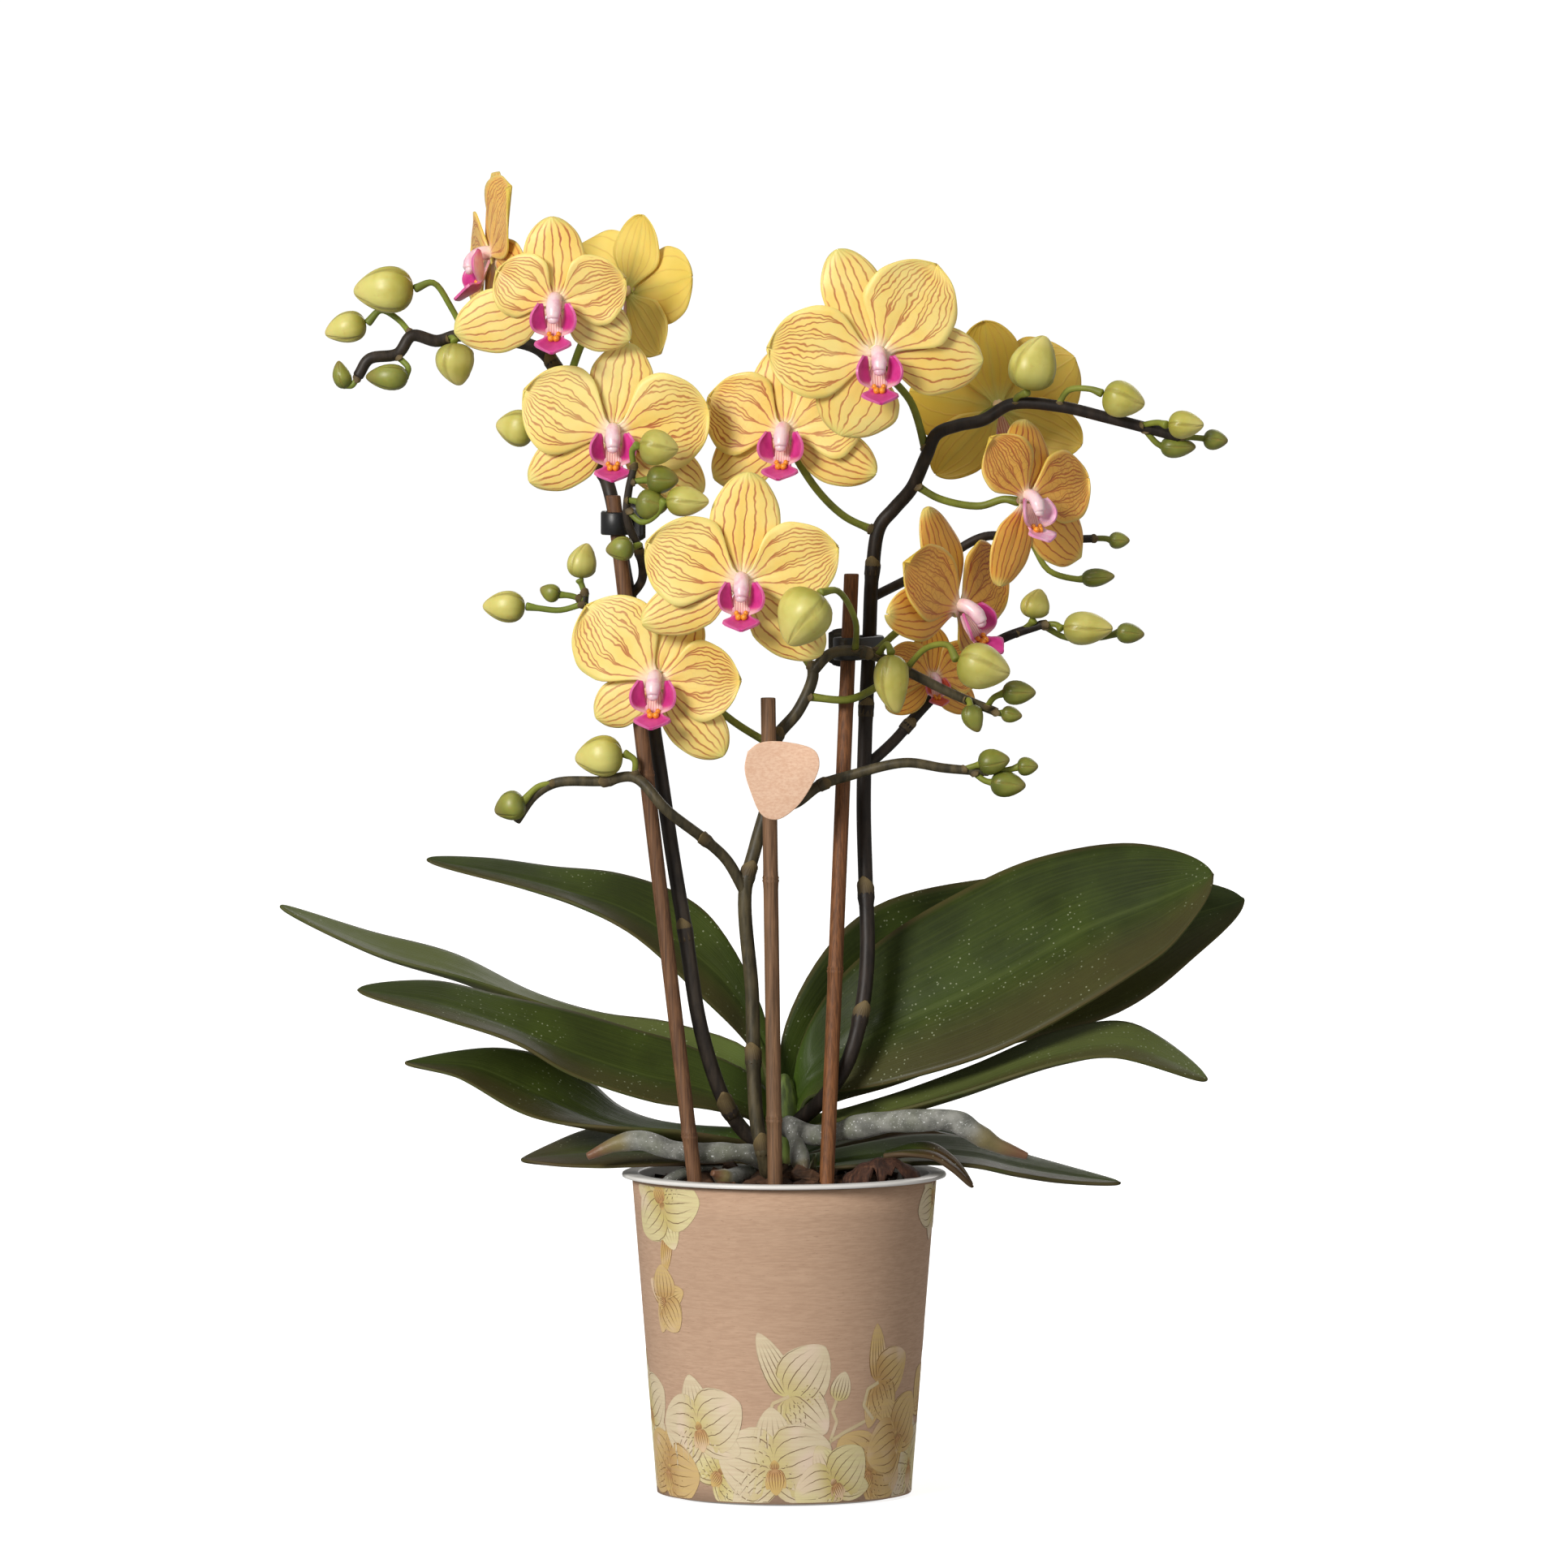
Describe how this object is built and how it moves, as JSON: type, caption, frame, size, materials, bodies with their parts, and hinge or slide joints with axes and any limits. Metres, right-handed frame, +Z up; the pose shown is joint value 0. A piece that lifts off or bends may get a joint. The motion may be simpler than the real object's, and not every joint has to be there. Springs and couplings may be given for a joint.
{
  "type": "potted moth orchid",
  "caption": "Flowering moth orchid with branched spikes held by sticks and clips, growing in bark in a sleeved nursery pot.",
  "frame": {"origin": "middle of the pot's flat underside, on the surface that it stands on", "axes": "+Z up along the pot's axis, -Y towards the side that the flowers face, +X to the right of someone who looks at the flowers"},
  "size_m": [0.2708, 0.104, 0.3748],
  "materials": {
    "pot": "thin white injection-moulded nursery pot, slightly translucent rim, satin",
    "sleeve": "brown kraft card with fine fibres and a pale yellow line print of blossoms, matt",
    "bark": "loose pieces of dark composted bark, rough and dry",
    "leaf": null,
    "root": null,
    "stick": "split bamboo flower stick stained brown, fine lengthwise grain, satin",
    "stem": "green to dark purple-brown flower stem with pale sheaths at its nodes, satin",
    "clip": "black moulded plastic spring clip, semi-gloss",
    "tag": "bare kraft card tag with a fine fibre grain, matt",
    "petal": null,
    "bud": null
  },
  "bodies": {
    "root": {"pot": "pot", "pot_sleeve": "sleeve", "bark_bed": "bark", "dried_bark": "bark", "crown": "leaf", "leaf_left_1": "leaf", "leaf_left_2": "leaf", "leaf_left_3": "leaf", "leaf_left_4": "leaf", "leaf_left_5": "leaf", "leaf_right_1": "leaf", "leaf_right_2": "leaf", "leaf_right_3": "leaf", "leaf_right_4": "leaf", "leaf_right_5": "leaf", "leaf_right_6": "leaf", "root_left": "root", "root_right": "root", "root_stub": "root", "stick_left": "stick", "stick_middle": "stick", "stick_right": "stick", "spike_left": "stem", "spike_middle": "stem", "spike_right": "stem", "clip_left": "clip", "clip_middle": "clip", "clip_right": "clip", "tag": "tag", "flower_1": "petal", "flower_2": "petal", "flower_3": "petal", "flower_4": "petal", "flower_5": "petal", "flower_6": "petal", "flower_7": "petal", "flower_8": "petal", "flower_9": "petal", "flower_10": "petal", "flower_11": "petal", "flower_12": "petal", "bud_1": "bud", "bud_2": "bud", "bud_5": "bud", "bud_6": "bud", "bud_7": "bud", "bud_10": "bud", "bud_12": "bud", "bud_14": "bud", "bud_15": "bud", "bud_16": "bud", "bud_18": "bud", "bud_19": "bud", "bud_26": "bud", "bud_27": "bud", "bud_31": "bud", "bud_32": "bud", "bud_33": "bud"}
  },
  "joints": []
}
